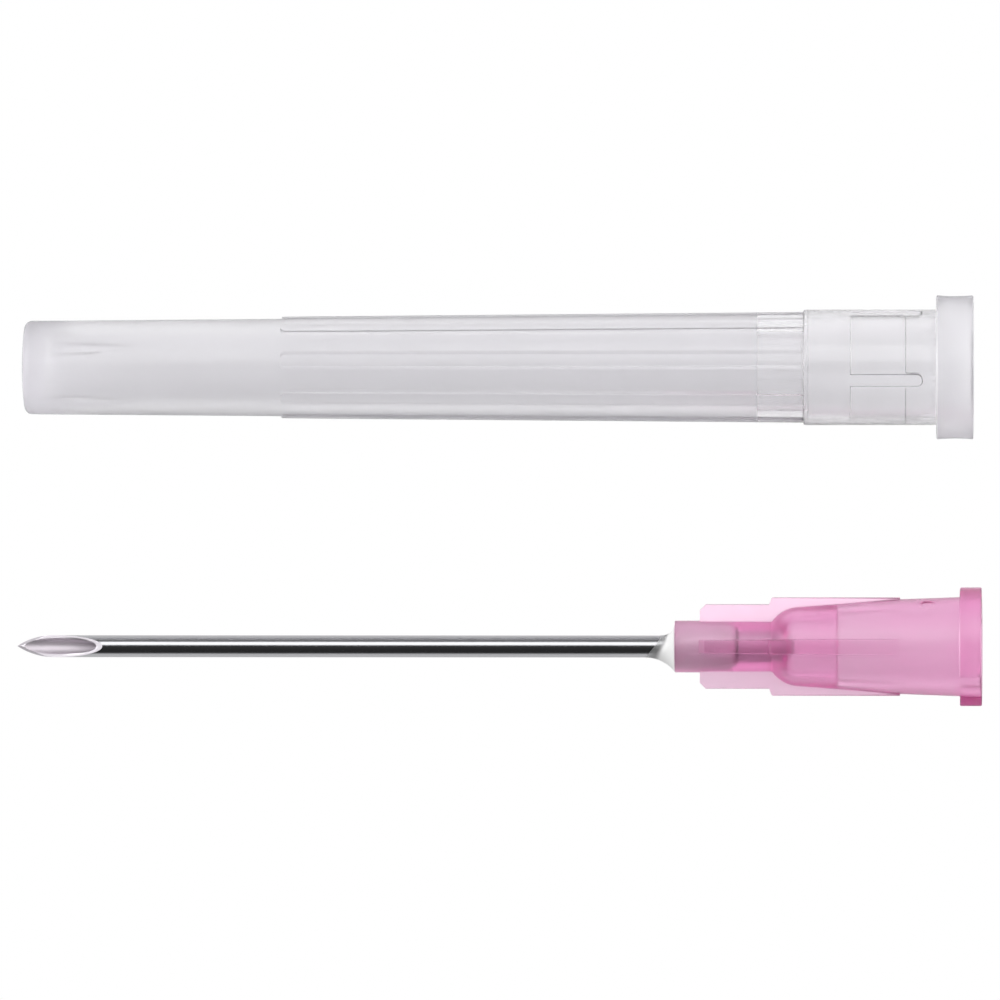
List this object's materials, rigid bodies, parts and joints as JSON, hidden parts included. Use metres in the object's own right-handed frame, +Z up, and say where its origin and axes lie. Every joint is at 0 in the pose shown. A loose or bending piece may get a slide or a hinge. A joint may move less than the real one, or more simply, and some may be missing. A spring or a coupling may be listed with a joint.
{
  "type": "hypodermic needle",
  "caption": "Hypodermic needle with a lancet-ground steel cannula bonded into a translucent pink finned hub, its clear ribbed protective sheath taken off and lying beside it.",
  "frame": {"origin": "centre of the footprint on the surface that the needle and the sheath lie on", "axes": "+X from the needle's point towards its hub, along both pieces; +Y from the needle towards the sheath; +Z up"},
  "size_m": [0.056, 0.0236, 0.0084],
  "materials": {
    "steel": "drawn and electropolished, bright",
    "pink_plastic": "moulded, translucent pink",
    "adhesive": "cured, milky clear",
    "clear_plastic": "moulded, natural translucent"
  },
  "bodies": {
    "root": {"cannula": "steel", "hub": "pink_plastic", "adhesive_bead": "adhesive", "sheath": "clear_plastic"}
  },
  "joints": []
}
